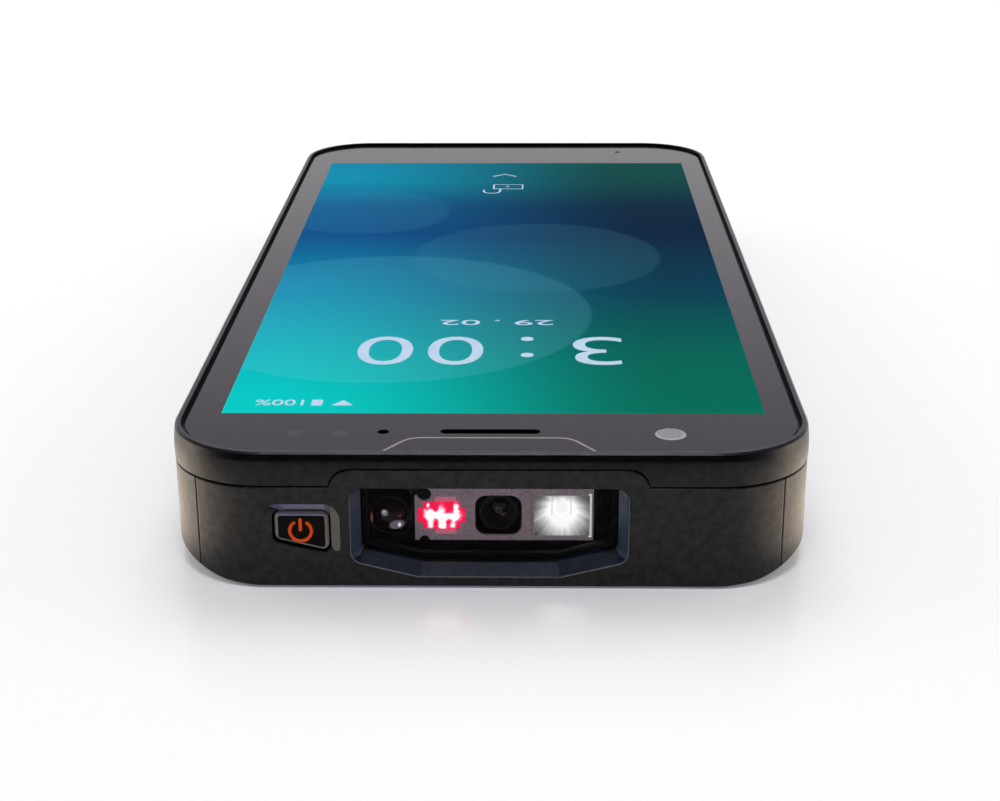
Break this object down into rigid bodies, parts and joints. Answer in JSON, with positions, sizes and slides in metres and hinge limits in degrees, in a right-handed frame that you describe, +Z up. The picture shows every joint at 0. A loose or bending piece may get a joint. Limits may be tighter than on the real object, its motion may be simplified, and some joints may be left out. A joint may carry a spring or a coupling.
{
  "type": "portable barcode data terminal",
  "caption": "Hand-held touch-screen barcode terminal with a scan window in its nose, side keys, a power button and a removable battery.",
  "frame": {"origin": "on the surface the terminal lies on, under the middle of its outline", "axes": "+Z up out of the screen, +Y from the scanning nose to the charging end, +X to the left of someone who reads the screen with the nose away from them"},
  "size_m": [0.0786, 0.1668, 0.0177],
  "materials": {
    "bezel": "fine satin moulded plastic",
    "cover_glass": "chemically strengthened sheet glass, polished, black printed border",
    "adhesive": "black double-sided foam tape",
    "display": "liquid crystal panel, lit",
    "flex": "polyimide ribbon",
    "magnesium": null,
    "rubber": "black silicone",
    "housing": "fine textured polycarbonate blend",
    "window": "scratch resistant tinted window",
    "engine_black": "black anodised or moulded",
    "face_plate": "speckled filled plastic",
    "steel": "tinned sheet steel",
    "board": "glass-epoxy laminate, green solder mask",
    "red_lens": "clear red acrylic",
    "red_led": "red light-emitting diodes, lit",
    "lens": "coated optical glass",
    "reflector": "metallised moulded reflector",
    "white_led": "white light-emitting diode, lit",
    "switch_metal": "stainless dome and frame",
    "connector": "glass-filled nylon with gold-plated spring pins",
    "screw_steel": "blackened steel",
    "gold": "gold-plated contact",
    "black_plastic": "moulded black plastic",
    "mesh": "black woven steel mesh",
    "diffuser": "frosted light pipe",
    "ferrite": "ferrite sheet with copper coil",
    "key_rubber": "soft-touch moulded cap, orange printed symbol on the power button",
    "battery_plastic": "fine textured polycarbonate blend",
    "cell_foil": "aluminium laminate pouch",
    "latch_plastic": "acetal",
    "brass_weight": null
  },
  "bodies": {
    "body": {"bezel_ring": "bezel", "cover_glass": "cover_glass", "glass_adhesive": "adhesive", "display_module": "display", "display_flex": "flex", "chassis_plate": "magnesium", "housing_gasket": "rubber", "nose_cap": "housing", "rear_housing": "housing", "scan_window": "window", "window_seal": "rubber", "engine_body": "engine_black", "engine_face_plate": "face_plate", "engine_bracket": "steel", "engine_flex": "flex", "decode_board": "board", "aimer_lens": "red_lens", "aimer_leds": "red_led", "camera_barrel": "engine_black", "camera_lens": "lens", "light_reflector": "reflector", "light_led": "white_led", "spot_barrel": "engine_black", "spot_lens": "lens", "power_board": "board", "key_boards": "board", "tact_switches": "switch_metal", "battery_connector": "connector", "main_board": "board", "shield_cans": "steel", "housing_screws": "screw_steel", "small_screws": "screw_steel", "end_board": "board", "usb_socket": "steel", "cradle_contacts": "gold", "loudspeaker": "black_plastic", "speaker_mesh": "mesh", "vibration_motor": "steel", "earpiece_receiver": "steel", "earpiece_mesh": "mesh", "indicator_lens": "diffuser", "light_sensors": "black_plastic", "microphones": "black_plastic", "rear_camera": "black_plastic", "rear_camera_window": "window", "flash_lens": "diffuser", "nfc_antenna": "ferrite"},
    "power_button": {"power_button": "key_rubber"},
    "left_scan_key": {"left_scan_key": "key_rubber"},
    "volume_up_key": {"volume_up_key": "key_rubber"},
    "volume_down_key": {"volume_down_key": "key_rubber"},
    "right_scan_key": {"right_scan_key": "key_rubber"},
    "function_key": {"function_key": "key_rubber"},
    "battery_pack": {"battery_case": "battery_plastic", "battery_lid": "battery_plastic", "battery_cell": "cell_foil", "battery_board": "board", "battery_pads": "gold"},
    "battery_latch": {"battery_latch": "latch_plastic"},
    "motor_weight": {"vibration_weight": "brass_weight"}
  },
  "joints": [
    {"name": "power_button_press", "type": "slide", "parent": "body", "child": "power_button", "axis": [0, 1, 0], "range_m": [0, 0.0005], "stiffness_N_per_m": 2500},
    {"name": "left_scan_key_press", "type": "slide", "parent": "body", "child": "left_scan_key", "axis": [-1, 0, 0], "range_m": [0, 0.0005], "stiffness_N_per_m": 2500},
    {"name": "volume_up_press", "type": "slide", "parent": "body", "child": "volume_up_key", "axis": [-1, 0, 0], "range_m": [0, 0.0005], "stiffness_N_per_m": 2500},
    {"name": "volume_down_press", "type": "slide", "parent": "body", "child": "volume_down_key", "axis": [-1, 0, 0], "range_m": [0, 0.0005], "stiffness_N_per_m": 2500},
    {"name": "right_scan_key_press", "type": "slide", "parent": "body", "child": "right_scan_key", "axis": [1, 0, 0], "range_m": [0, 0.0005], "stiffness_N_per_m": 2500},
    {"name": "function_key_press", "type": "slide", "parent": "body", "child": "function_key", "axis": [1, 0, 0], "range_m": [0, 0.0005], "stiffness_N_per_m": 2500},
    {"name": "battery_swing", "type": "hinge", "parent": "body", "child": "battery_pack", "pos_m": [0, 0.062, 0], "axis": [1, 0, 0], "range_deg": [0, 40]},
    {"name": "battery_latch_slide", "type": "slide", "parent": "body", "child": "battery_latch", "axis": [0, 1, 0], "range_m": [0, 0.0018]},
    {"name": "vibration_spin", "type": "hinge", "parent": "body", "child": "motor_weight", "pos_m": [0.0234, 0.0705, 0.0082], "axis": [1, 0, 0], "continuous": true}
  ]
}
